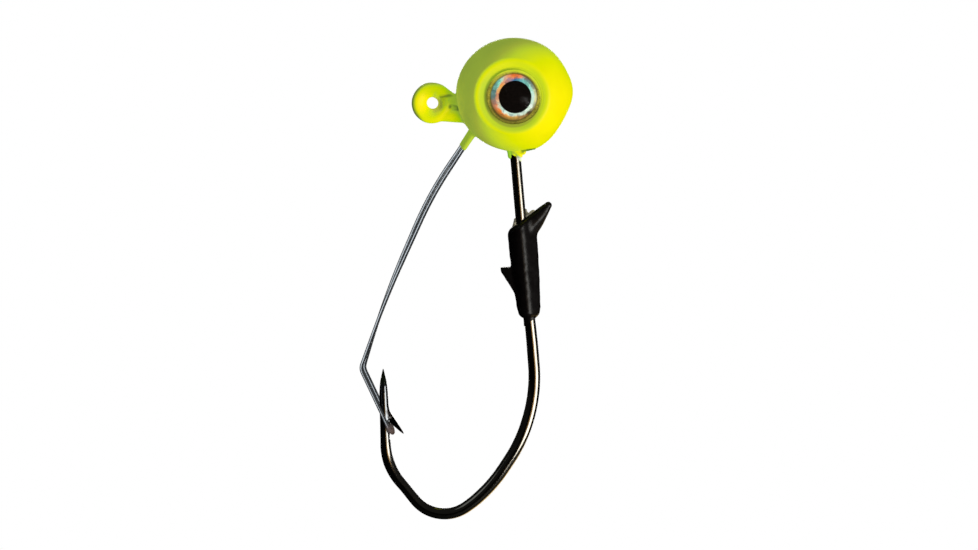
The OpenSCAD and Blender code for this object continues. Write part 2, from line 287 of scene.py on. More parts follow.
def part_neighbours(points, quads, cell):
    """Points that landed on a neighbour go back between their neighbours."""
    for _ in range(4):
        corners = points[quads]
        side = np.linalg.norm(corners - np.roll(corners, -1, 1), axis=2).min(1)
        diagonal = np.minimum(np.linalg.norm(corners[:, 0] - corners[:, 2], axis=1),
                              np.linalg.norm(corners[:, 1] - corners[:, 3], axis=1))
        bad = np.unique(quads[(side < 0.06 * cell) | (diagonal < 0.20 * cell)])
        if not len(bad):
            break
        centre = corners.mean(1)
        total, count = np.zeros_like(points), np.zeros(len(points))
        for k in range(4):
            np.add.at(total, quads[:, k], centre)
            np.add.at(count, quads[:, k], 1)
        points[bad] = total[bad] / count[bad][:, None]


def iso_mesh(name, field, low, high, cell):
    """The surface field = 0 inside a box, as quads: surface nets pulled onto the surface."""
    axes = [np.arange(low[i] - cell, high[i] + 2 * cell, cell, dtype=np.float32)
            for i in range(3)]
    shape = tuple(len(axis) for axis in axes)
    values = np.empty(shape, np.float32)
    slab = max(1, int(2_000_000 / (shape[1] * shape[2])))
    for i in range(0, shape[0], slab):
        grid = np.meshgrid(axes[0][i:i + slab], axes[1], axes[2], indexing="ij")
        values[i:i + slab] = field(*grid)
    inside = values < 0
    fill_checkerboards(values, inside, cell)
    points, active = net_points(values, inside)
    points = points * cell + np.array([axis[0] for axis in axes], np.float32)
    quads = net_quads(inside, active)
    points = points.astype(np.float64)
    pull_to_surface(points, field, cell)
    part_neighbours(points, quads, cell)
    return new_object(name, points, quads)


# ---------------------------------------------------------- field helpers --

def smin(one, other, blend):
    """Union of two fields with a fillet of size blend."""
    share = np.clip(0.5 + 0.5 * (other - one) / blend, 0, 1)
    return other * (1 - share) + one * share - blend * share * (1 - share)


def smax(one, other, blend):
    """Intersection of two fields with a rounding of size blend."""
    return -smin(-one, -other, blend)


def capsule(pos, start, end, start_r, end_r):
    """Distance to a round rod from start to end whose radius changes evenly."""
    x, y, z = pos
    start, end = np.array(start, float), np.array(end, float)
    span = end - start
    part = (((x - start[0]) * span[0] + (y - start[1]) * span[1] + (z - start[2]) * span[2])
            / (span @ span))
    part = np.clip(part, 0, 1)
    distance = np.sqrt((x - start[0] - part * span[0]) ** 2
                       + (y - start[1] - part * span[1]) ** 2
                       + (z - start[2] - part * span[2]) ** 2)
    return distance - (start_r + (end_r - start_r) * part)


def add_rods(field, pos, rods):
    """Unites field with rods of (start, end, start radius, end radius, blend)."""
    for *rod, blend in rods:
        field = smin(field, capsule(pos, *rod), blend)
    return field


def wobble(x, y, z, size, seed):
    """Smooth pseudo-random sum of waves, about -1 to 1, with features of size mm."""
    draw = np.random.default_rng(seed)
    total = 0
    for _ in range(6):
        wave = draw.normal(size=3)
        wave = wave / np.linalg.norm(wave) * 2 * pi / (size * draw.uniform(0.7, 1.6))
        total = total + np.sin(wave[0] * x + wave[1] * y + wave[2] * z + draw.uniform(0, 6.28))
    return total / 3.0


def along(value, stations):
    """Interpolates a table of (place, value) stations."""
    places, values = zip(*stations)
    return np.interp(value, places, values)


def heading(angle):
    """Unit direction of an angle in degrees."""
    return cos(radians(angle)), sin(radians(angle))


# ------------------------------------------------------- the object's sizes --
WIRE_R = 0.57        # hook wire
TIE_R = 1.38         # centre line of the line tie's ring
TAG_SLOPE = 30.0     # fall of the ring's cut end, degrees
TAG_LENGTH = 2.0
LEAN = 5.0           # of the shank towards +X, degrees
SHANK_X = 8.64       # where the leaning shank's line meets the leg from the ring
NECK_R = 1.1         # bend from the leg into the shank
# hook bends below the neck: straight before the bend, angle in degrees, radius
BENDS = [(26.3, 39.5, 16.0), (1.05, 20.5, 16.4), (0.0, 83.7, 4.1), (2.45, 39.1, 6.7)]
SPEAR_LENGTH = 8.37
SPEAR_LAP = 0.60     # how far the swept wire runs up into the ground spear
SHANK_ZERO_Z = -6.816  # height at which distance down the shank is 0
BALL_X, BALL_Z = 8.73, 0.96
EYE_X, EYE_Z = 9.00, 0.86
EYE_R = 3.0
SOCKET_Y = 4.40      # socket floor
GUARD_R = 0.20
LEAD_INSET = 0.13    # coating thickness over the lead

TAG_COS, TAG_SIN = heading(TAG_SLOPE)


def hook_path():
    """Centre line of the hook from the cut end to the tip, as (x, z, arc length) rows.

    Also the arc length at the start of each bend and of the spear, and the spear's
    start point and heading."""
    x = TIE_R * TAG_SIN + TAG_LENGTH * TAG_COS
    z = TIE_R * TAG_COS - TAG_LENGTH * TAG_SIN
    angle = 180.0 - TAG_SLOPE
    arc = 0.0
    rows = [(x, z, arc)]

    def straight(length, steps):
        nonlocal x, z, arc
        toward = heading(angle)
        start_x, start_z, start_arc = x, z, arc
        for k in range(1, steps + 1):
            run = length * k / steps
            x, z = start_x + toward[0] * run, start_z + toward[1] * run
            arc = start_arc + run
            rows.append((x, z, arc))

    def turn(total, radius, sign):
        nonlocal x, z, angle, arc
        steps = max(6, int(total / 1.5))
        step = total / steps
        chord = 2 * radius * sin(radians(step / 2))
        for _ in range(steps):
            toward = heading(angle + sign * step / 2)
            x += chord * toward[0]
            z += chord * toward[1]
            angle += sign * step
            arc += radius * radians(step)
            rows.append((x, z, arc))

    straight(TAG_LENGTH, 6)
    turn(180 + TAG_SLOPE, TIE_R, 1)
    neck_x = SHANK_X - NECK_R * tan(radians((90 - LEAN) / 2))
    straight(neck_x - x, 20)
    turn(90 - LEAN, NECK_R, -1)
    bend_arcs = []
    for length, total, radius in BENDS:
        if length:
            straight(length, max(4, int(length / 0.5)))
        bend_arcs.append(arc)
        turn(total, radius, -1)
    spear_arc, spear_start = arc, (x, z)
    straight(SPEAR_LENGTH, 24)
    return rows, bend_arcs, spear_arc, spear_start, angle


HOOK_PATH, BEND_ARCS, SPEAR_ARC, SPEAR_START, SPEAR_ANGLE = hook_path()
SPEAR_UP = heading(SPEAR_ANGLE)
SPEAR_IN = (SPEAR_UP[1], -SPEAR_UP[0])  # across the spear, towards the gap

SHANK_ZERO = (SHANK_X + (-SHANK_ZERO_Z - TIE_R) * tan(radians(LEAN)), SHANK_ZERO_Z)
SHANK_DOWN = (sin(radians(LEAN)), -cos(radians(LEAN)))
SHANK_OUT = heading(LEAN)  # across the shank, away from the gap


def shank_coords(x, z):
    """Distance down the shank and out from its axis."""
    return ((x - SHANK_ZERO[0]) * SHANK_DOWN[0] + (z - SHANK_ZERO[1]) * SHANK_DOWN[1],
            (x - SHANK_ZERO[0]) * SHANK_OUT[0] + (z - SHANK_ZERO[1]) * SHANK_OUT[1])


def at_shank(down, out, y=0.0):
    """The point (x, y, z) at these shank coordinates."""
    return (SHANK_ZERO[0] + SHANK_DOWN[0] * down + SHANK_OUT[0] * out, y,
            SHANK_ZERO[1] + SHANK_DOWN[1] * down + SHANK_OUT[1] * out)


def at_spear(back, inward):
    """The point (x, y, z) a distance back from the tip and inward to the gap."""
    up = SPEAR_LENGTH - back
    return (SPEAR_START[0] + SPEAR_UP[0] * up + SPEAR_IN[0] * inward, 0.0,
            SPEAR_START[1] + SPEAR_UP[1] * up + SPEAR_IN[1] * inward)


# -------------------------------------------------------------- weed guard --
LOOP_SHIFT, LOOP_HALF_GAP = -0.13, 0.85
# Corners of the guard from the ball to the loop:
# x, z, bend radius, shift square to the wire in XZ (opposite on the two strands),
# half the spacing of the strands in Y
GUARD_CORNERS = [
    (7.40, -2.55, 0, 0.15, 0.16),
    (4.79, -2.55, 0.8, 0.15, 0.15),
    (-0.168, -9.983, 40, 0.240, 0.32),
    (-5.200, -21.347, 98, 0.115, 0.63),
    (-7.70, -28.97, 1.2, LOOP_SHIFT, LOOP_HALF_GAP),
    (-4.36, -36.08, hypot(LOOP_SHIFT, LOOP_HALF_GAP), LOOP_SHIFT, LOOP_HALF_GAP),
]


def guard_normal(i):
    """Unit normal, in (x, z), of the guard's run from corner i."""
    run = unit(np.subtract(GUARD_CORNERS[i + 1][:2], GUARD_CORNERS[i][:2]))
    return np.array([-run[1], run[0]])


def guard_corner(i, strand):
    """Corner i of a strand: 1 for the one on the -Y side, -1 for the other."""
    before, after = guard_normal(max(i - 1, 0)), guard_normal(min(i, 4))
    mitre = (before + after) / (1 + before @ after)
    x, z, _, shift, half_gap = GUARD_CORNERS[i]
    place = np.array((x, z)) + strand * shift * mitre
    return np.array([place[0], -strand * half_gap, place[1]])


def on_strand(strand, distance):
    """Point on the strand's run down from corner 1."""
    start, end = guard_corner(1, strand), guard_corner(2, strand)
    return start + distance * unit(end - start)


def bent_wire(corners, bends, max_turn=3.0, max_step=0.6):
    """Points along a wire bent through corners; max_turn is in degrees."""
    count = len(corners)
    runs = [unit(corners[i + 1] - corners[i]) for i in range(count - 1)]
    turns = [acos(max(-1, min(1, float(runs[i - 1] @ runs[i])))) for i in range(1, count - 1)]
    turns = [0.0] + turns + [0.0]
    trims = [bend * tan(angle / 2) for bend, angle in zip(bends, turns)]
    points = []
    for i in range(count - 1):
        start = corners[i] + runs[i] * trims[i]
        length = np.linalg.norm(corners[i + 1] - corners[i]) - trims[i] - trims[i + 1]
        if length > 1e-3:
            steps = max(2, int(length / max_step))
            for j in range(steps):
                points.append(start + runs[i] * length * j / steps)
        if i + 1 < count - 1:
            bend, total = bends[i + 1], turns[i + 1]
            start = corners[i + 1] - runs[i] * trims[i + 1]
            inward = unit(runs[i + 1] - (runs[i] @ runs[i + 1]) * runs[i])
            centre = start + inward * bend
            steps = max(3, int(degrees(total) / max_turn), int(bend * total / max_step))
            for j in range(steps):
                angle = total * j / steps
                points.append(centre - inward * bend * cos(angle) + runs[i] * bend * sin(angle))
    points.append(corners[-1])
    return np.array(points)


def build_guard():
    """One wire down the -Y strand, round the loop and back up the other strand."""
    corners = [guard_corner(i, 1) for i in range(6)]
    corners += [guard_corner(i, -1) for i in range(5, -1, -1)]
    bends = [row[2] for row in GUARD_CORNERS]
    return sweep("guard_wire", bent_wire(corners, bends + bends[::-1]), GUARD_R, sides=24)


# -------------------------------------------------------- head and its coat --
BALL_R = 6.09
# swellings of the ball in the XZ plane: direction and width in degrees, height
BALL_LOBES = [(3, 20, 0.42), (44, 30, 0.24), (-66, 27, 0.34), (180, 40, 0.06)]


def ball_field(x, y, z, inset=0.0):
    """The ball over its coating, shrunk by inset."""
    from_x, from_z = x - BALL_X, z - BALL_Z
    distance = np.sqrt(from_x * from_x + y * y + from_z * from_z) + 1e-6
    unit_x, unit_z = from_x / distance, from_z / distance
    radius = BALL_R
    for angle, width, height in BALL_LOBES:
        toward = heading(angle)
        cosine = np.clip(unit_x * toward[0] + unit_z * toward[1], -1, 1)
        radius = radius + height * np.exp(-(np.arccos(cosine) / radians(width)) ** 2)
    # parting line of the two mould halves
    radius = radius + 0.022 * np.exp(-(y / 0.09) ** 2)
    return distance - (radius - inset)


def socket_field(x, y, z, inset=0.0):
    """Below 0 inside the cut of an eye socket: a flat floor with a sloping wall."""
    from_eye = np.sqrt((x - EYE_X) ** 2 + (z - EYE_Z) ** 2)
    floor_y = SOCKET_Y - inset + np.maximum(0, from_eye - 3.16) * 0.33
    return (floor_y - np.abs(y)) * 0.95


def tie_field(x, y, z):
    """Coated line tie: ring, cut end, leg, and a web between them."""
    pos, mirrored = (x, y, z), (x, np.abs(y), z)
    radius = np.sqrt(x * x + z * z)
    # the ring's flanks flare outwards on the -X side
    crest = 0.36 * np.clip(np.abs(y) / 0.8, 0, 1) ** 1.5 * np.clip(0.65 - x / 2.2, 0, 1)
    ring = (np.sqrt((radius - 1.42 - crest + 0.03 * z / (radius + 0.1)) ** 2 + y * y)
            - 0.80) * 0.92
    reach = 2.15
    field = add_rods(ring, pos, [
        ((TIE_R * TAG_SIN, 0, TIE_R * TAG_COS),
         (TIE_R * TAG_SIN + reach * TAG_COS, 0, TIE_R * TAG_COS - reach * TAG_SIN),
         0.78, 0.66, 0.10),
        ((0.6, 0, -1.34), (4.0, 0, -TIE_R), 0.70, 0.82, 0.12),
    ])
    web = capsule((x, y * 1.5, z), (1.7, 0, -0.50), (3.4, 0, -0.62), 0.46, 0.50) * 0.8
    field = smin(field, web, 0.06) + 0.025 * wobble(x, y, z, size=1.6, seed=3)
    # the blunt end of the cut wire shows as a step under the sloping coat
    field = add_rods(field, mirrored, [((1.95, 0.42, 0.28), (2.75, 0.42, 0.16),
                                        0.42, 0.40, 0.08)])
    # grooves on both flanks: above, beside and below the step
    grooves = [capsule(mirrored, *groove) for groove in (
        ((0.80, 0.92, 0.60), (2.6, 0.84, 0.94), 0.16, 0.18),
        ((1.28, 0.98, 0.55), (1.38, 0.92, -0.12), 0.24, 0.22),
        ((1.72, 0.94, -0.36), (3.3, 0.74, -0.64), 0.17, 0.24))]
    return smax(field, -np.minimum(np.minimum(grooves[0], grooves[1]), grooves[2]), 0.12)


def collar_field(x, y, z):
    """Lumpy collar where the shank leaves the ball."""
    pos = (x, y, z)
    field = capsule(pos, at_shank(-2.2, 0), at_shank(-1.30, 0.0), WIRE_R + 0.12, WIRE_R + 0.03)
    field = add_rods(field, pos, [
        # lobe low on the gap side
        (at_shank(-1.70, -0.54, -0.12), at_shank(-1.08, -0.52, -0.12), 0.33, 0.30, 0.06),
        # drip across the -Y face to the outside
        (at_shank(-1.75, 0.10, -0.52), at_shank(-1.16, 0.52, -0.50), 0.38, 0.36, 0.07),
    ])
    # round lobe beside the drip
    centre = at_shank(-1.38, 0.92, -0.05)
    lobe = np.sqrt((x - centre[0]) ** 2 + (y - centre[1]) ** 2 + (z - centre[2]) ** 2) - 0.27
    field = smin(field, lobe, 0.14)
    # thin run of coating below the drip
    return add_rods(field, pos, [
        (at_shank(-1.00, 0.32, -0.40), at_shank(-0.54, 0.50, -0.34), 0.24, 0.15, 0.06)])


def coat_field(x, y, z):
    pos = (x, y, z)
    field = smax(ball_field(x, y, z), -socket_field(x, y, z), 0.34)
    field = smin(field, tie_field(x, y, z), 0.26)
    # coating drawn down the two guard strands
    field = add_rods(field, pos, [
        (on_strand(strand, 0.2), on_strand(strand, 2.62), GUARD_R + 0.16, GUARD_R + 0.085, 0.22)
        for strand in (1, -1)])
    field = smin(field, collar_field(x, y, z) + 0.02 * wobble(x, y, z, size=0.5, seed=11), 0.08)
    # mould flash along the underside, just outside the collar
    flash = (capsule(pos, (9.74, -0.14, -5.18), (11.15, -0.14, -4.97), 0.14, 0.10)
             + 0.03 * wobble(x, y, z, size=0.35, seed=5))
    return smin(field, flash, 0.04)


def casting_field(x, y, z):
    return smax(ball_field(x, y, z, LEAD_INSET), -socket_field(x, y, z, LEAD_INSET), 0.16)


# ------------------------------------------------------ keeper and adhesive --
# distance down the shank, outer radius of the tapering sleeve
KEEPER_SLEEVE = [(5.6, 1.52), (6.3, 1.60), (7.2, 1.62), (9.8, 1.59), (12.5, 1.49),
                 (15.6, 1.30), (16.2, 1.17), (16.75, 0.84)]


def upper_barb_field(x, y, z):
    """A tapering fin that leans up and out."""
    root, tip = at_shank(6.95, 0.82), at_shank(4.62, 3.10)
    _, out = shank_coords(x, z)
    fin = capsule((x, y, z), root, tip, 1.24, 0.40)
    fin = smax(fin, np.abs(y) - (0.90 - 0.10 * np.clip(out, 0, 4)), 0.20)
    # its lower face is bevelled to an edge
    normal_x, normal_z = tip[2] - root[2], -(tip[0] - root[0])
    below = (((x - root[0]) * normal_x + (z - root[2]) * normal_z)
             / hypot(normal_x, normal_z))
    return smax(fin, 0.72 * below + 0.69 * np.abs(y) - 0.74, 0.18)


def lower_barb_field(x, y, z):
    """A barb on the gap side: square above, long slope below."""
    down, out = shank_coords(x, z)
    slope = (out + 1.05) * -0.887 + (down - 14.45) * 0.4617
    top = (10.98 - down) + 0.06 * (out + 1.5)
    field = smax(smax(top, slope, 0.10), -(out + 2.66), 0.12)
    field = smax(field, out + 0.6, 0.05)
    return smax(field, np.abs(y) - (0.86 + 0.10 * np.clip(out, -3, 0)), 0.20)


def keeper_field(x, y, z):
    down, out = shank_coords(x, z)
    radius = np.sqrt((out - 0.03) ** 2 + y * y)
    sleeve = along(down, KEEPER_SLEEVE)
    core = (radius - sleeve - 0.10 * np.clip(out, 0, 1)) * 0.95
    # flat flanks towards the outside, so that a soft ridge runs down each Y face
    core = smax(core, 0.743 * out + 0.669 * np.abs(y) - (0.16 + 0.665 * sleeve), 0.34)
    # sloping top and square bottom
    core = smax(core, (6.14 - 0.5 * out - down) * 0.89, 0.62)
    core = smax(core, down - 16.7, 0.35)
    field = smin(core, upper_barb_field(x, y, z), 0.26)
    field = smin(field, lower_barb_field(x, y, z), 0.22)
    # thin tail round the shank, longer on the gap side
    tail = np.maximum(np.abs(radius - 0.35) - 0.36, (down - (17.15 - 0.62 * out)) * 0.85)
    tail = smax(tail, 15.5 - down, 0.1)
    field = smin(field, tail, 0.08)
    # the bore that grips the shank
    field = smax(field, (WIRE_R + 0.004) - np.sqrt(out * out + y * y), 0.03)
    return field + 0.012 * wobble(x, y, z, size=1.1, seed=21)


def adhesive_field(x, y, z):
    """Squeezed-out adhesive: a sliver on the gap side, a web up to the barb outside."""
    pos = (x, y, z)
    _, out = shank_coords(x, z)
    field = capsule(pos, at_shank(5.95, -0.52, 0.22), at_shank(6.75, -0.66, 0.22), 0.28, 0.36)
    field = add_rods(field, pos, [
        (at_shank(5.02, 0.56, 0.16), at_shank(5.75, 0.62, 0.16), 0.19, 0.34, 0.15),
        (at_shank(5.62, 0.80, 0.12), at_shank(5.22, 1.42, 0.10), 0.30, 0.24, 0.15),
        (at_shank(6.3, -0.5, 0.55), at_shank(5.8, 0.6, 0.55), 0.36, 0.36, 0.2),
    ])
    field = field + 0.035 * wobble(x, y, z, size=0.7, seed=31)
    return smax(field, (WIRE_R + 0.002) - np.sqrt(out * out + y * y), 0.02)


# -------------------------------------------------------------------- hook --
# distance back from the tip, radius of the ground spear
SPEAR_PROFILE = [(0.0, 0.015), (0.1, 0.05), (0.42, 0.13), (0.9, 0.235), (1.3, 0.33), (1.9, 0.41),
                 (2.6, 0.46), (3.6, 0.49), (6.0, 0.515), (7.6, 0.545), (8.4, 0.565)]
# distance back from the tip, shift of the needle point towards the gap
SPEAR_SHIFT = [(0, 0.06), (1.6, 0.02), (3.0, 0.0)]


def spear_field(x, y, z):
    """Upper end of the hook: ground needle point and the sliced barb."""
    pos = (x, y, z)
    from_x, from_z = x - SPEAR_START[0], z - SPEAR_START[1]
    up = from_x * SPEAR_UP[0] + from_z * SPEAR_UP[1]
    inward = from_x * SPEAR_IN[0] + from_z * SPEAR_IN[1]
    back = SPEAR_LENGTH - up
    inward = inward - along(back, SPEAR_SHIFT)
    body = (np.sqrt(inward * inward + y * y) - along(back, SPEAR_PROFILE)) * 0.96
    body = np.maximum(body, -back)
    # swelling ahead of the barb
    body = add_rods(body, pos, [(at_spear(4.35, 0.14), at_spear(5.35, 0.40), 0.36, 0.38, 0.12)])
    # barb: a stout sliver raised from the spear, sharp at its end
    root, tip = at_spear(5.12, 0.38), at_spear(7.24, 2.03)
    span_x, span_z = tip[0] - root[0], tip[2] - root[2]
    part = np.clip(((x - root[0]) * span_x + (z - root[2]) * span_z)
                   / hypot(span_x, span_z) ** 2, 0, 1)
    off = np.sqrt((x - root[0] - part * span_x) ** 2 + (z - root[2] - part * span_z) ** 2)
    barb = smax((off - 0.40 * (1 - part) ** 0.62 - 0.008) * 0.85,
                np.abs(y) - 0.24 * (1 - part) ** 0.5 - 0.01, 0.05)
    body = smin(body, barb, 0.10)
    # the slice it was raised from, flat on the spear's side
    cut = capsule((x, y * 0.6, z), at_spear(6.78, 0.92), at_spear(7.8, 0.74), 0.27, 0.32)
    body = smax(body, -cut, 0.05)
    # square lower end, inside the swept wire
    return smax(body, 0.30 - up, 0.01)


def build_hook():
    """Swept wire from the cut end to the spear, and the ground spear."""
    first, second, third, fourth = BEND_ARCS
    end_arc = SPEAR_ARC + SPEAR_LAP
    x, z, arc = np.array(HOOK_PATH).T
    tangent = np.gradient(np.stack([x, z], 1), axis=0)
    tangent /= np.linalg.norm(tangent, axis=1)[:, None]
    # arc length, how far the forged bend bulges to its outer side
    bulge = along(arc, [
        (first - 6, 0.0), (first - 2.5, 0.05), (first + 4, 0.0), (second - 6, 0.0),
        (second - 1, 0.07), (second + 1.7, 0.125), (third - 1, 0.18), (third + 1.3, 0.165),
        (third + 3.6, 0.13), (third + 6.2, 0.075), (fourth - 0.5, 0.0)])
    centre = np.stack([x - tangent[:, 1] * bulge, 0 * arc, z + tangent[:, 0] * bulge], 1)
    kept = arc <= end_arc - 0.05
    centre = np.vstack([centre[kept], at_spear(SPEAR_LENGTH - SPEAR_LAP, 0)])
    arc = np.append(arc[kept], end_arc)
    # arc length, half width in the bend plane
    widths = along(arc, [
        (0, WIRE_R), (first - 6, 0.59), (first - 2, 0.635), (first + 6, 0.665),
        (second + 4, 0.655), (third, 0.635), (third + 4, 0.615), (fourth - 1, 0.570),
        (fourth + 2.5, 0.615), (SPEAR_ARC, 0.575), (end_arc, 0.540)])
    # arc length, half width in Y
    flat = along(arc, [(0, WIRE_R), (first - 1, WIRE_R), (first + 5, 0.525),
                       (SPEAR_ARC - 2, 0.525), (end_arc, 0.535)])
    wire = sweep("hook_a", centre, widths, sides=48, flat=flat)
    spear = iso_mesh("hook_b", spear_field, (-6.15, -0.65, -37.5), (-2.9, 0.65, -28.7), 0.045)
    return join("hook_black_nickel", [wire, spear])


# -------------------------------------------------------------------- eyes --
DOME_EDGE = 0.35  # height of the dome's upright edge
# underside and edge of the dome, radius and height, from the recess over the pupil outwards
DOME_RIM = [(0.0, 0.041), (1.895, 0.041), (1.902, 0.0), (2.2, 0.0), (2.6, 0.0), (2.93, 0.0),
            (2.985, 0.02), (EYE_R, 0.08), (EYE_R, 0.25)]


def build_dome(side, sign):
    """A clear dome with a rounded rim; the foil, pupil and pad are the CAD's own."""
    low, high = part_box(side + "_eye_dome")
    x, z = (low.x + high.x) / 2 / MM, (low.z + high.z) / 2 / MM
    base = abs(low.y if sign > 0 else high.y) / MM
    top = abs(high.y if sign > 0 else low.y) / MM
    rise = top - base - DOME_EDGE
    cap_r = (EYE_R * EYE_R + rise * rise) / (2 * rise)
    cap_angle = asin((EYE_R - 0.02) / cap_r)
    steps = 26
    profile = list(DOME_RIM)
    for i in range(steps):
        angle = cap_angle * (1 - i / steps)
        profile.append((cap_r * sin(angle), DOME_EDGE + rise - cap_r + cap_r * cos(angle)))
    profile.append((0.0, DOME_EDGE + rise))
    return lathe(side + "_dome", profile, origin=(x, sign * base, z), axis=(0, sign, 0),
                 reference=(1, 0, 0), segments=160)


# ------------------------------------------------------------------ pieces --

def piece(obj, slot, *cad_nodes):
    """Hides the CAD nodes that obj stands for; slot is not used."""
    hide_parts(*cad_nodes)
    return obj


hook = piece(build_hook(), "hook_black_nickel", "hook")
coat = piece(iso_mesh("powder_coat_skin", coat_field, (-2.4, -5.0, -6.6), (15.6, 5.0, 7.4), 0.085),
             "chartreuse_coat", "powder_coat")
casting = piece(iso_mesh("lead_casting", casting_field, (2.4, -5.0, -5.6), (15.6, 5.0, 7.4), 0.2),
                "lead", "head_casting")
keeper = piece(iso_mesh("keeper_sleeve", keeper_field,
                        (7.2, -1.75, -24.6), (13.4, 1.75, -10.4), 0.055),
               "keeper_plastic", "bait_keeper")
glue = piece(iso_mesh("adhesive_bead", adhesive_field,
                      (8.0, -1.2, -14.4), (11.6, 1.2, -11.2), 0.045),
             "clear_adhesive", "keeper_adhesive")
guard = piece(build_guard(), "spring_wire", "weed_guard", "guard_root")
domes = [piece(build_dome(side, sign), "eye_resin", side + "_eye_dome")
         for side, sign in (("left", -1), ("right", 1))]


# ------------------------------------------------------------ node helpers --
RIM_SHIFT = (0.12, 0.25)  # the shadow ring's centre lies this far to -X and -Z of the eye's


class Net:
    """A shader graph. Places are in mm; a span is the input range that fades."""

    def __init__(self, owner, output="OutputMaterial"):
        owner.use_nodes = True
        self.owner, self.tree = owner, owner.node_tree
        self.tree.nodes.clear()
        self.output = self.node(output)

    def node(self, kind, inputs=(), **props):
        """A node with its properties set and its inputs, {socket: value}, fed."""
        node = self.tree.nodes.new("ShaderNode" + kind)
        for name, value in props.items():
            setattr(node, name, value)
        for key, value in dict(inputs).items():
            socket = node.inputs[key]
            if isinstance(value, bpy.types.NodeSocket):
                self.tree.links.new(value, socket)
            elif socket.type == "RGBA":
                socket.default_value = (*value, 1)
            else:
                socket.default_value = value
        return node

    def finish(self, shader):
        self.tree.links.new(shader, self.output.inputs["Surface"])
        return self.owner

    def coords(self, scale=1.0):
        """Object coordinates in mm times scale."""
        place = self.node("TexCoord").outputs["Object"]
        return self.node("Mapping", {"Scale": (1000 * scale,) * 3,
                                     "Vector": place}).outputs["Vector"]

    def split(self, place):
        """The x and z of a place."""
        parts = self.node("SeparateXYZ", {0: place})
        return parts.outputs["X"], parts.outputs["Z"]

    def noise(self, place, scale, detail=3.0, rough=0.5):
        return self.node("TexNoise", {"Scale": scale, "Detail": detail, "Roughness": rough,
                                      "Vector": place}).outputs["Fac"]

    def ramp(self, factor, stops):
        """A colour ramp through (position, colour) stops."""
        node = self.node("ValToRGB", {"Fac": factor})
        elements = node.color_ramp.elements
        for element, (position, colour) in zip(elements, (stops[0], stops[-1])):
            element.position, element.color = position, (*colour, 1)
        for position, colour in stops[1:-1]:
            elements.new(position).color = (*colour, 1)
        return node.outputs["Color"]

    def mix(self, factor, one, other, blend="MIX"):
        return self.node("Mix", {"Factor": factor, "A": one, "B": other},
                         data_type="RGBA", blend_type=blend).outputs["Result"]

    def math(self, operation, *values, clamp=False):
        return self.node("Math", enumerate(values), operation=operation,
                         use_clamp=clamp).outputs[0]

    def add(self, one, other):
        return self.math("ADD", one, other)

    def mul(self, one, other):
        return self.math("MULTIPLY", one, other)

    def max(self, one, other):
        return self.math("MAXIMUM", one, other)

    def radius(self, x, z):
        return self.math("SQRT", self.add(self.mul(x, x), self.mul(z, z)))

    def rim_radius(self, x, z):
        """Distance from the centre of the socket rim's shadow."""
        return self.radius(self.add(x, RIM_SHIFT[0]), self.add(z, RIM_SHIFT[1]))

    def vector(self, operation, one, other):
        scalar = operation in ("DOT_PRODUCT", "DISTANCE")
        return self.node("VectorMath", {0: one, 1: other},
                         operation=operation).outputs["Value" if scalar else "Vector"]

    def scale(self, vector, factor):
        return self.node("VectorMath", {0: vector, "Scale": factor}, operation="SCALE").outputs[0]

    def fade(self, value, span, to=(0, 1)):
        """Maps span onto to and holds the end values beyond it."""
        return self.node("MapRange", enumerate((value, *span, *to)), clamp=True).outputs[0]

    def mottle(self, noise, one, other, span=(0.35, 0.7)):
        """Two colours spread by a noise."""
        return self.mix(self.fade(noise, span), one, other)

    def bump(self, height, strength, depth, normal=None):
        """A bump of depth mm, over normal if that is given."""
        inputs = {"Strength": strength, "Distance": depth * MM, "Height": height}
        if normal is not None:
            inputs["Normal"] = normal
        return self.node("Bump", inputs).outputs["Normal"]

    def near(self, place, start, end, span):
        """1 close to the line from start to end, fading to 0 over span."""
        line = tuple(b - a for a, b in zip(start, end))
        square = sum(part * part for part in line)
        offset = self.vector("SUBTRACT", place, start)
        part = self.vector("DOT_PRODUCT", offset, tuple(item / square for item in line))
        part = self.math("MINIMUM", self.max(part, 0.0), 1.0)
        distance = self.vector("DISTANCE", offset, self.scale(line, part))
        return self.fade(distance, span, to=(1.0, 0.0))

    def patches(self, place, rows, mask=None):
        """Adds patches round lines, (start, end, span, strength), to a mask."""
        for start, end, span, strength in rows:
            patch = self.mul(self.near(place, start, end, span), strength)
            mask = patch if mask is None else self.max(mask, patch)
        return mask

    def principled(self, **inputs):
        inputs = {name.replace("_", " "): value for name, value in inputs.items()}
        return self.node("BsdfPrincipled", inputs).outputs[0]

    def mix_shader(self, factor, one, other):
        return self.node("MixShader", {0: factor, 1: one, 2: other}).outputs[0]


def material_net(name):
    return Net(bpy.data.materials.new(name))


# --------------------------------------------------------------- materials --

def painted_flash_shade(net, place, flat):
    """Painted shade along the mould flash; flat is the place with no y."""
    blot = net.fade(net.noise(place, scale=1.6, detail=3, rough=0.7), span=(0.32, 0.52),
                    to=(0.45, 1.0))
    flash_shade = net.mul(net.near(flat, (9.78, 0, -5.20), (11.10, 0, -5.00), span=(0.05, 0.19)),
                   net.fade(blot, span=(0.45, 1.0), to=(0.50, 0.90)))
    return net.patches(flat, [((10.35, 0, -5.11), (10.75, 0, -5.05), (0.06, 0.22), 0.95)], flash_shade)


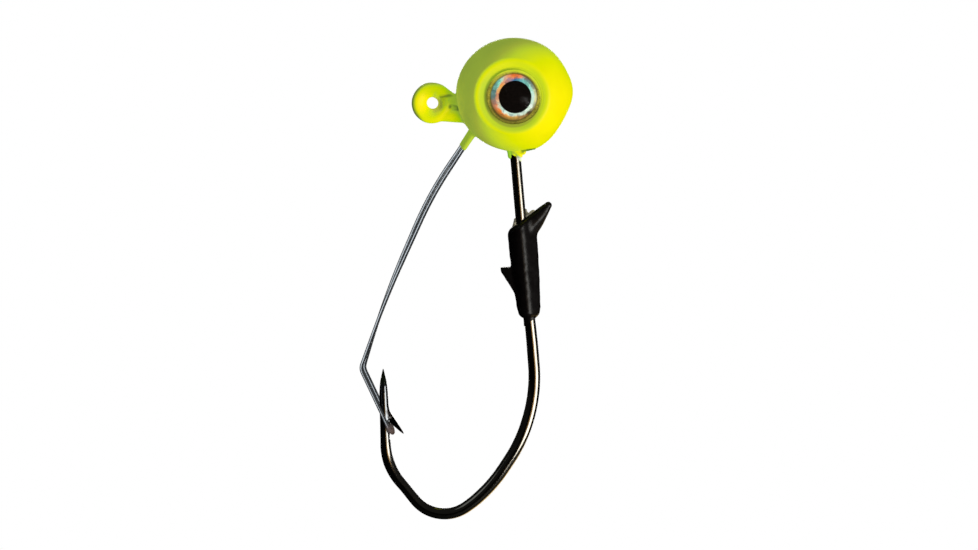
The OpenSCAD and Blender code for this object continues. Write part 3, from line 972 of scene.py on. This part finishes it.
def painted_pool_shade(net, place, flat):
    """Painted shade along the flash, in the crook of the tie, on the collar and on the tie's outer
    edge.
    """
    pool_shade = net.patches(flat, [((9.78, 0, -5.22), (11.2, 0, -5.00), (0.02, 0.10), 0.3)])
    # painted shade: three in the crook of the tie, one on the collar
    pool_shade = net.patches(place, [
        ((0.95, -0.7, 0.64), (2.6, -0.7, 0.98), (0.04, 0.26), 0.70),
        ((1.10, -0.7, 0.55), (0.98, -0.7, -0.35), (0.14, 0.56), 0.40),
        ((2.05, -0.7, -0.42), (3.2, -0.5, -0.66), (0.10, 0.36), 1.0),
        ((8.40, -0.3, -5.0), (8.44, -0.3, -6.1), (0.14, 0.34), 0.40),
    ], pool_shade)
    # painted shade on the tie's outer edge, on the -X side
    x, z = net.split(place)
    edge = net.mul(net.fade(net.radius(x, z), span=(1.78, 2.16), to=(0.0, 0.66)),
                   net.fade(x, span=(-1.6, -0.9), to=(1.0, 0.0)))
    edge = net.mul(edge, net.fade(z, span=(-1.2, 1.2), to=(1.25, 0.75)))
    return net.max(pool_shade, edge)


def coat_material():
    """Fluorescent powder coat: a warm yellow surface over a green emission, partly the coat's
    fluorescence and mostly painted light that shows in the shade.
    """
    net = material_net("chartreuse_coat")
    place = net.coords()
    thickness = net.noise(place, scale=0.35, detail=3, rough=0.55)
    fine = net.noise(place, scale=3.2, detail=4, rough=0.6)
    base = net.mottle(thickness, (0.76, 0.540, 0.0), (0.80, 0.565, 0.0), span=(0.35, 0.65))
    painted_glow = net.mottle(thickness, (0.225, 0.325, 0.0), (0.245, 0.350, 0.0), span=(0.35, 0.65))
    # painted light: extra green glow where the key's light falls at a slant
    light_direction = (0.706, -0.659, -0.259)
    lit = net.vector("DOT_PRODUCT", net.node("NewGeometry").outputs["Normal"], light_direction)
    painted_midtone = net.mul(net.fade(lit, span=(0.10, 0.32), to=(0.0, 1.0)),
                    net.fade(lit, span=(0.62, 1.0), to=(1.0, 0.0)))
    painted_midtone_strength = 1.0
    painted_glow = net.mix(net.mul(painted_midtone, painted_midtone_strength), painted_glow, (0.0, 0.115, 0.0), "ADD")
    # painted shade: the glow is paler where the key's light doesn't reach
    shade = net.fade(lit, span=(0.15, 0.62), to=(1.0, 0.0))
    painted_glow = net.mix(shade, painted_glow, (0.0, 0.0, 0.040), "ADD")

    spots = net.fade(fine, span=(0.60, 0.80), to=(0.0, 0.25))
    # painted shade in creases and hollows, from ambient occlusion
    occlusion = net.node("AmbientOcclusion", {"Distance": 0.45 * MM}, samples=8)
    painted_crevice_shade = net.fade(occlusion.outputs["AO"], span=(0.40, 0.90), to=(0.85, 0.0))
    flat = net.vector("MULTIPLY", place, (1, 0, 1))
    flash_shade = painted_flash_shade(net, place, flat)
    pool_shade = painted_pool_shade(net, place, flat)
    # painted light: brighter yellow to the -X side of the hole and below it
    painted_tie_light = net.patches(place, [
        ((-1.25, -0.7, 0.35), (-1.15, -0.7, -0.45), (0.35, 0.85), 0.5),
        ((0.9, -0.7, -1.25), (2.1, -0.7, -1.25), (0.25, 0.75), 0.30)])
    # painted shade on the socket wall, fainter above and on the +X side
    x, z = net.split(net.vector("SUBTRACT", place, (EYE_X, 0, EYE_Z)))
    wall = net.fade(net.radius(x, z), span=(3.65, 4.05), to=(1.0, 0.0))
    wall = net.mul(wall, net.fade(z, span=(1.4, 3.2), to=(1.0, 0.35)))
    wall = net.mul(wall, net.fade(x, span=(1.8, 3.2), to=(1.0, 0.35)))
    # painted shade round the guard's strands, and where the tie meets the ball
    painted_neck_shade = net.patches(place, [((2.6, 0, 0.3), (4.2, 0, -0.8), (0.8, 1.7), 0.85)],
                        net.near(place, (4.0, 0, -3.6), (1.9, 0, -6.9), span=(0.9, 1.3)))
    # painted shade on the collar's lobe on the gap side
    lobe = net.near(place, at_shank(-1.75, -0.56, -0.2), at_shank(-1.05, -0.54, -0.2),
                    span=(0.34, 0.52))
    rim_shade = net.fade(net.rim_radius(x, z), span=(2.96, 3.17), to=(0.75, 0.0))
    # painted highlight: pale along the thin run of coating below the drip
    thin_run_highlight = net.near(place, at_shank(-0.86, 0.38, -0.6), at_shank(-0.50, 0.52, -0.6),
                        span=(0.16, 0.32))
    # layers from the lowest up: mask, surface colour, colour of the painted glow
    for mask, base_colour, painted_glow_colour in (
            (spots, (0.45, 0.45, 0.01), (0.12, 0.20, 0.02)),
            (painted_crevice_shade, (0.16, 0.22, 0.01), (0.03, 0.06, 0.006)),
            (wall, (0.42, 0.45, 0.0), (0.235, 0.365, 0.024)),
            (painted_neck_shade, (0.30, 0.33, 0.0), (0.225, 0.345, 0.030)),
            (painted_tie_light, (0.95, 0.62, 0.0), (0.32, 0.36, 0.0)),
            (pool_shade, (0.05, 0.09, 0.012), (0.035, 0.07, 0.014)),
            (flash_shade, (0.02, 0.08, 0.010), (0.03, 0.115, 0.012)),
            (lobe, (0.20, 0.33, 0.01), (0.17, 0.36, 0.020)),
            (rim_shade, (0.16, 0.17, 0.02), (0.16, 0.185, 0.025)),
            (thin_run_highlight, (0.62, 0.68, 0.50), (0.20, 0.24, 0.17))):
        base = net.mix(mask, base, base_colour)
        painted_glow = net.mix(mask, painted_glow, painted_glow_colour)
    normal = net.bump(net.noise(place, scale=2.0, detail=2, rough=0.5), strength=0.25, depth=0.03)
    normal = net.bump(net.noise(place, scale=14, detail=2, rough=0.5),
                      strength=0.12, depth=0.008, normal=normal)
    return net.finish(net.principled(
        Base_Color=base, Roughness=net.fade(fine, span=(0.3, 0.7), to=(0.42, 0.55)),
        Specular_IOR_Level=0.10, Normal=normal, Emission_Color=painted_glow, Emission_Strength=1.0))


def hook_material():
    net = material_net("black_nickel")
    place = net.coords()
    colour = net.mottle(net.noise(place, scale=1.4, detail=4, rough=0.6),
                        (0.21, 0.20, 0.175), (0.27, 0.25, 0.21))
    roughness = net.fade(net.noise(place, scale=5.0, detail=4, rough=0.6),
                         span=(0.3, 0.75), to=(0.10, 0.16))
    # the ground point is greyer than the rest; painted shade makes its sliced barb nearly black
    x, z = net.split(place)
    ground = net.mul(net.fade(x, span=(-3.4, -2.4), to=(1, 0)), net.fade(z, span=(-38.0, -35.5)))
    colour = net.mix(ground, colour, (0.135, 0.145, 0.155))
    barb = net.near(place, at_spear(4.75, 0.55), at_spear(7.24, 2.06), span=(0.42, 0.62))
    colour = net.mix(barb, colour, (0.020, 0.018, 0.018))
    # painted reflection of the green head on the needle point
    x, y, z = at_spear(0.9, 0.0)
    needle = net.near(place, (x - 0.1, y, z), (x, y, z + 0.5), span=(0.5, 1.1))
    colour = net.mix(needle, colour, (0.10, 0.14, 0.07))
    normal = net.bump(net.noise(place, scale=9.0, detail=3, rough=0.5), strength=0.03, depth=0.01)
    return net.finish(net.principled(Base_Color=colour, Metallic=1.0, Roughness=roughness,
                                     Normal=normal))


def wire_material():
    net = material_net("spring_wire")
    place = net.coords()
    colour = net.mottle(net.noise(place, scale=0.8, detail=3, rough=0.6),
                        (0.62, 0.66, 0.69), (0.48, 0.51, 0.53))
    # brownish towards the loop end
    _, z = net.split(place)
    loop_end_tint = net.fade(z, span=(-36.2, -34.9), to=(1.0, 0.0))
    colour = net.mix(net.mul(loop_end_tint, 0.85), colour, (0.42, 0.24, 0.21))
    # painted light: a patchy glow at the loop end
    loop_end_painted_glow = net.fade(net.noise(place, scale=2.4, detail=2), span=(0.35, 0.65), to=(0.3, 1.2))
    return net.finish(net.principled(
        Base_Color=colour, Metallic=net.fade(loop_end_tint, span=(0.0, 1.0), to=(1.0, 0.45)),
        Roughness=net.fade(net.noise(place, scale=7, detail=3), span=(0.3, 0.7), to=(0.24, 0.32)),
        # painted light: a faint grey glow on the whole wire, a warmer one at the loop end
        Emission_Color=net.mix(loop_end_tint, (0.020, 0.022, 0.024), (0.11, 0.07, 0.06)),
        Emission_Strength=net.add(net.math("SUBTRACT", 1.0, loop_end_tint), net.mul(loop_end_tint, loop_end_painted_glow))))


def keeper_material():
    net = material_net("keeper_plastic")
    place = net.coords()
    colour = net.mottle(net.noise(place, scale=1.1, detail=5, rough=0.6),
                        (0.0025, 0.0018, 0.0020), (0.006, 0.0045, 0.005))
    normal = net.bump(net.noise(place, scale=2.2, detail=4, rough=0.6), strength=0.22, depth=0.03)
    normal = net.bump(net.noise(place, scale=16, detail=3, rough=0.6),
                      strength=0.12, depth=0.008, normal=normal)
    return net.finish(net.principled(
        Base_Color=colour, Specular_IOR_Level=0.26, Normal=normal,
        Roughness=net.fade(net.noise(place, scale=3.0, detail=4), span=(0.3, 0.7),
                           to=(0.30, 0.40))))


def glue_material():
    net = material_net("clear_adhesive")
    place = net.coords()
    colour = net.mottle(net.noise(place, scale=2.5, detail=4),
                        (0.44, 0.41, 0.31), (0.13, 0.12, 0.09), span=(0.40, 0.62))
    # painted light: the adhesive glows faintly in its own colour
    return net.finish(net.principled(
        Base_Color=colour, Roughness=0.22, Transmission_Weight=0.15, IOR=1.45,
        Normal=net.bump(net.noise(place, scale=3, detail=3), strength=0.3, depth=0.03),
        Emission_Color=colour, Emission_Strength=0.25))


def lead_material():
    net = material_net("cast_lead")
    place = net.coords()
    colour = net.mottle(net.noise(place, scale=1.0, detail=5, rough=0.6),
                        (0.30, 0.31, 0.33), (0.18, 0.185, 0.20), span=(0.3, 0.7))
    return net.finish(net.principled(
        Base_Color=colour, Metallic=0.9,
        Roughness=net.fade(net.noise(place, scale=3, detail=4), span=(0.3, 0.7), to=(0.45, 0.65)),
        Normal=net.bump(net.noise(place, scale=4, detail=4), strength=0.3, depth=0.04)))


def dome_material():
    """Clear cast resin: see-through body, faint mirror skin, amber towards the rim, where the coat
    seen through it is painted in.
    """
    net = material_net("eye_resin")
    normal = net.bump(net.noise(net.coords(), scale=1.2, detail=2), strength=0.05, depth=0.02)
    fresnel = net.node("Fresnel", {"IOR": 1.52, "Normal": normal}).outputs[0]
    facing = net.node("LayerWeight", {"Blend": 0.5}).outputs["Facing"]
    # painted refraction: amber-olive towards the rim, where the coat would show through the resin
    painted_rim_tint = net.ramp(facing, [(0.0, (1, 1, 1)), (0.60, (0.98, 0.98, 0.97)),
                             (0.85, (0.86, 0.86, 0.68)), (1.0, (0.60, 0.62, 0.28))])
    body = net.node("BsdfTransparent", {"Color": painted_rim_tint}).outputs[0]
    skin = net.node("BsdfGlossy", {"Roughness": 0.10, "Normal": normal}).outputs[0]
    skin_strength = 0.03
    return net.finish(net.mix_shader(net.math("MULTIPLY", fresnel, skin_strength, clamp=True),
                                     body, skin))


def linear(*colour):
    """8-bit display colour to scene-linear."""
    return tuple((part / 255 / 12.92) if part / 255 <= 0.04045
                 else ((part / 255 + 0.055) / 1.055) ** 2.4 for part in colour)


# Holographic foil: a palette of flashes, with painted highlights in mint and frost, and what the
# inner and outer ring show in each direction, every 45 degrees from -180 to 180
PEACH, ORANGE, FLAME = linear(230, 142, 104), linear(248, 150, 78), linear(230, 112, 44)
AMBER, SAND, UMBER = linear(208, 156, 76), linear(200, 195, 145), linear(62, 48, 32)
MINT, FROST, SEA = linear(212, 236, 212), linear(172, 205, 188), linear(116, 182, 166)
BLUE, PEWTER = linear(45, 100, 145), linear(88, 112, 108)
INNER_RING = [PEACH, FROST, FROST, MINT, FROST, SEA, BLUE, ORANGE, PEACH]
OUTER_RING = [PEWTER, FLAME, AMBER, UMBER, SAND, PEWTER, FLAME, SEA, PEWTER]


def painted_dome_edge(net, x, z, radius, fine):
    """Amber rim beyond the foil's printed line, painted with the coat as seen through the dome's
    edge.
    """
    rim = net.ramp(fine, [(0.30, linear(112, 108, 38)), (0.45, linear(154, 150, 52)),
                          (0.55, linear(178, 170, 66)), (0.70, linear(126, 108, 42))])
    # painted shade below, painted light greener above
    height = net.math("DIVIDE", net.add(net.mul(x, 0.10), z), EYE_R)
    rim = net.mix(net.fade(height, span=(-0.95, -0.1), to=(0.55, 0.0)), rim, linear(84, 82, 30))
    rim = net.mix(net.fade(height, span=(0.1, 0.9), to=(0.0, 0.45)), rim, linear(176, 190, 62))
    # brown at both ends of a slanting diameter
    slanted = net.math("DIVIDE", net.add(net.mul(x, 0.6), net.mul(z, 0.8)), EYE_R)
    ends = net.fade(net.math("ABSOLUTE", slanted), span=(0.55, 0.95), to=(0.0, 0.75))
    inside = net.fade(radius, span=(2.62, 2.80), to=(1.0, 0.0))
    return net.mix(net.mul(ends, inside), rim, linear(72, 52, 24))


def foil_material():
    net = material_net("iris_foil")
    place = net.scale(net.vector("SUBTRACT", net.node("TexCoord").outputs["Object"],
                                 (EYE_X * MM, 0, EYE_Z * MM)), 1000)
    x, z = net.split(place)
    radius = net.radius(x, z)
    # the pupil's line and the two rings lie off centre, towards +X
    ring_radius = net.radius(net.math("SUBTRACT", x, 0.14), z)
    ripple = net.noise(place, scale=1.6, detail=3, rough=0.6)
    fine = net.noise(place, scale=4.2, detail=2, rough=0.6)

    def rippled(value, amount):
        return net.add(value, net.mul(net.math("SUBTRACT", ripple, 0.5), amount))

    turn = net.math("DIVIDE", net.math("ARCTAN2", z, x), 2 * pi)
    turn = rippled(net.add(turn, 0.5), amount=0.10)
    inner, outer = (net.ramp(turn, [(i / 8, colour) for i, colour in enumerate(ring)])
                    for ring in (INNER_RING, OUTER_RING))
    colour = net.mix(net.fade(rippled(ring_radius, amount=0.55), span=(2.00, 2.20)), inner, outer)
    # broken cells of the foil, with painted glints
    cells = net.node("TexVoronoi", {"Scale": 2.6, "Vector": place}, feature="F1")
    cell = net.node("SeparateColor", {0: cells.outputs["Color"]})
    colour = net.mix(net.fade(cell.outputs[0], span=(0.0, 1.0), to=(0.0, 0.60)), colour,
                     (1.0, 1.0, 0.95), "OVERLAY")
    colour = net.mix(net.fade(cell.outputs[1], span=(0.55, 1.0), to=(0.0, 0.45)), colour,
                     (0.02, 0.05, 0.10))
    colour = net.mix(net.fade(radius, span=(2.46, 2.58)), colour,
                     painted_dome_edge(net, x, z, radius, fine))
    # dark lines round the pupil and at the printed edge, and painted shade at the eye's outer
    # edge, by share of the eye's radius
    for distance, stops in (
            (ring_radius, [(0.0, (0.3, 0.3, 0.3)), (0.575, (0.25, 0.27, 0.25)),
                           (0.605, (1, 1, 1)), (1.0, (1, 1, 1))]),
            (radius, [(0.0, (1, 1, 1)), (0.805, (1, 1, 1)), (0.840, (0.40, 0.36, 0.26)),
                      (0.880, (0.95, 0.9, 0.8)), (0.925, (1.05, 1.0, 0.9)),
                      (0.962, (0.60, 0.62, 0.45)), (1.0, (0.25, 0.30, 0.12))])):
        lines = net.ramp(net.math("DIVIDE", distance, EYE_R), stops)
        colour = net.mix(1.0, colour, lines, "MULTIPLY")
    # the foil falls into the rim's shade low on the -X side
    low = net.math("DIVIDE", net.add(net.mul(x, -0.5), net.mul(z, -0.87)), EYE_R)
    band = net.mul(net.fade(radius, span=(2.10, 2.35), to=(0.0, 1.0)),
                   net.fade(radius, span=(2.62, 2.80), to=(1.0, 0.0)))
    colour = net.mix(net.mul(net.fade(low, span=(0.25, 0.75), to=(0.0, 0.62)), band),
                     colour, linear(78, 74, 30))
    # painted refraction: the bright socket seen through the dome's edge, high on the +X side
    colour = net.mix(net.fade(net.rim_radius(x, z), span=(2.93, 3.08), to=(0.0, 0.9)),
                     colour, linear(200, 212, 48))
    # painted light: the foil glows in its own colours
    return net.finish(net.principled(
        Base_Color=colour, Metallic=0.25, Roughness=0.42, Emission_Color=colour,
        Emission_Strength=0.62, Specular_IOR_Level=0.3,
        Normal=net.bump(ripple, strength=0.3, depth=0.04)))


def pupil_material():
    net = material_net("pupil_ink")
    colour = net.mottle(net.noise(net.coords(), scale=4, detail=3),
                        (0.003, 0.0015, 0.001), (0.007, 0.004, 0.003), span=(0.4, 0.7))
    return net.finish(net.principled(Base_Color=colour, Roughness=0.5, Specular_IOR_Level=0.08))


def pad_material():
    net = material_net("foam_pad")
    place = net.coords()
    colour = net.mottle(net.noise(place, scale=8, detail=3),
                        (0.62, 0.62, 0.58), (0.45, 0.45, 0.42), span=(0.4, 0.7))
    normal = net.bump(net.noise(place, scale=12, detail=2), strength=0.4, depth=0.03)
    return net.finish(net.principled(Base_Color=colour, Roughness=0.8, Normal=normal))


def paint(obj, material):
    obj.data.materials.clear()
    obj.data.materials.append(material)


for obj, make_material in ((hook, hook_material), (coat, coat_material), (casting, lead_material),
                           (keeper, keeper_material), (glue, glue_material),
                           (guard, wire_material)):
    paint(obj, make_material())
resin = dome_material()
for dome in domes:
    paint(dome, resin)
foil, ink, foam = foil_material(), pupil_material(), pad_material()
for side in ("left", "right"):
    paint(nodes[side + "_eye_iris_foil"], foil)
    paint(nodes[side + "_eye_pupil"], ink)
    paint(nodes[side + "_eye_adhesive_pad"], foam)
# these CAD nodes are stood for by a piece above, and keep a matching finish
for name, obj in (("hook", hook), ("head_casting", casting), ("powder_coat", coat),
                  ("bait_keeper", keeper), ("keeper_adhesive", glue),
                  ("weed_guard", guard), ("guard_root", guard)):
    paint(nodes[name], obj.data.materials[0])

# ------------------------------------------------------------------ riding --
for obj in (hook, coat, casting, keeper, glue, *domes):
    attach(obj, "jig")
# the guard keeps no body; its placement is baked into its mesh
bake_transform(guard)


# ------------------------------------------------------------------- stage --

def floor_material():
    """White to the camera, dark grey to everything else."""
    net = material_net("floor_pale")
    colour = net.mottle(net.noise(net.coords(scale=0.01), scale=0.6, detail=3),
                        (0.035, 0.035, 0.035), (0.045, 0.045, 0.045), span=(0.3, 0.7))
    white = net.node("Emission", {"Strength": 1.0, "Color": (1, 1, 1)}).outputs[0]
    return net.finish(net.mix_shader(net.node("LightPath").outputs["Is Camera Ray"],
                                     net.principled(Base_Color=colour, Roughness=0.9), white))


def build_floor():
    """A disc well below the hook, so that the hook hangs clear over it."""
    mesh = bpy.data.meshes.new("floor")
    disc = bmesh.new()
    bmesh.ops.create_circle(disc, cap_ends=True, radius=6.0, segments=96)
    disc.to_mesh(mesh)
    disc.free()
    obj = bpy.data.objects.new("floor", mesh)
    bpy.context.scene.collection.objects.link(obj)
    obj.location = (0, 0, -0.25)
    mesh.materials.append(floor_material())
    return obj


def build_world():
    """White behind the object, a dim room in reflections, a little brighter to +X."""
    world = bpy.data.worlds.new("studio")
    bpy.context.scene.world = world
    net = Net(world, output="OutputWorld")
    x, _ = net.split(net.node("TexCoord").outputs["Generated"])
    strength = net.fade(x, span=(-0.9, 0.9), to=(0.015, 0.035))
    room = net.node("Background", {"Strength": strength, "Color": (1, 0.99, 0.97)}).outputs[0]
    white = net.node("Background", {"Strength": 1.0, "Color": (1, 1, 1)}).outputs[0]
    net.finish(net.mix_shader(net.node("LightPath").outputs["Is Camera Ray"], room, white))


floor = build_floor()
build_world()


# ------------------------------------------------------------------ lights --
LIGHT_TARGET = Vector((0.008, 0, -0.010))


def direction(azimuth, elevation):
    """Unit vector azimuth degrees from -Y towards +X and elevation degrees up."""
    azimuth, elevation = radians(azimuth), radians(elevation)
    return Vector((sin(azimuth) * cos(elevation), -cos(azimuth) * cos(elevation),
                   sin(elevation)))


def softbox(name, lit_name, lit, azimuth, elevation, distance, size, radiance, color,
            shadow=True):
    """A rectangular soft box, in metres, that lights only the objects in lit."""
    light = bpy.data.lights.new(name, "AREA")
    light.shape = "RECTANGLE"
    light.size, light.size_y = size
    light.energy = radiance * pi * size[0] * size[1]
    light.color = color
    light.use_shadow = shadow
    obj = bpy.data.objects.new(name, light)
    toward = direction(azimuth, elevation)
    obj.location = LIGHT_TARGET + distance * toward
    obj.rotation_euler = (-toward).to_track_quat("-Z", "Y").to_euler()
    bpy.context.scene.collection.objects.link(obj)
    receivers = bpy.data.collections.new(lit_name)
    for receiver in lit:
        receivers.objects.link(receiver)
    obj.light_linking.receiver_collection = receivers


eye_parts = [*domes] + [nodes[side + "_eye_" + part] for side in ("left", "right")
                        for part in ("pupil", "iris_foil", "adhesive_pad")]
head = [coat, casting, *eye_parts]
# key: broad soft boxes low on the +X side, with a warm strip on the inner edge
softbox("key", "key_lit", [hook, keeper, glue, floor], azimuth=50, elevation=-14,
        distance=0.42, size=(0.27, 0.24), radiance=6.2, color=(1.0, 0.98, 0.93), shadow=False)
softbox("key_coat", "key_coat_lit", head, azimuth=48, elevation=-15,
        distance=0.42, size=(0.22, 0.20), radiance=13.6, color=(1.0, 0.99, 0.95))
softbox("key_warm_edge", "warm_lit", [hook, keeper], azimuth=22, elevation=-8,
        distance=0.42, size=(0.07, 0.11), radiance=2.0, color=(1.0, 0.58, 0.20))
# weak cool fill from above on the -X side, and a wider one that only the guard wire sees
softbox("fill", "fill_lit", [hook, casting, keeper, glue, *eye_parts], azimuth=-42, elevation=32,
        distance=0.50, size=(0.22, 0.22), radiance=0.45, color=(0.90, 0.96, 1.0))
softbox("guard_fill", "guard_lit", [guard], azimuth=-34, elevation=4,
        distance=0.45, size=(0.36, 0.46), radiance=1.25, color=(0.94, 0.97, 1.0))
# soft light from behind, so that the far side is modelled too
softbox("back_coat", "back_coat_lit", head, azimuth=181, elevation=2,
        distance=0.55, size=(0.20, 0.20), radiance=9.0, color=(1.0, 0.99, 0.95))
softbox("back_soft", "back_lit", [hook, keeper, glue, guard], azimuth=181, elevation=0,
        distance=0.50, size=(0.16, 0.22), radiance=4.0, color=(1.0, 0.98, 0.94))
# warm rim from behind and below, on the outer edges of the hook and keeper
softbox("rim_warm", "rim_lit", [hook, keeper], azimuth=150, elevation=-46,
        distance=0.28, size=(0.20, 0.20), radiance=2.2, color=(1.0, 0.72, 0.30))


# ------------------------------------------------------------------ camera --

def build_camera():
    camera = bpy.data.cameras.new("camera")
    camera.sensor_width = 36.0
    camera.lens = 270.16
    camera.clip_start, camera.clip_end = 0.01, 50
    obj = bpy.data.objects.new("camera", camera)
    bpy.context.scene.collection.objects.link(obj)
    target = Vector((6.153, 0, -18.778)) * MM
    distance = 0.800
    obj.location = target + distance * direction(azimuth=2.0, elevation=4.0)
    obj.rotation_euler = (target - obj.location).to_track_quat("-Z", "Y").to_euler()
    bpy.context.scene.camera = obj


build_camera()
view = bpy.context.scene.view_settings
view.view_transform = "Standard"
view.look = "None"
view.exposure = 0.0
view.gamma = 1.0
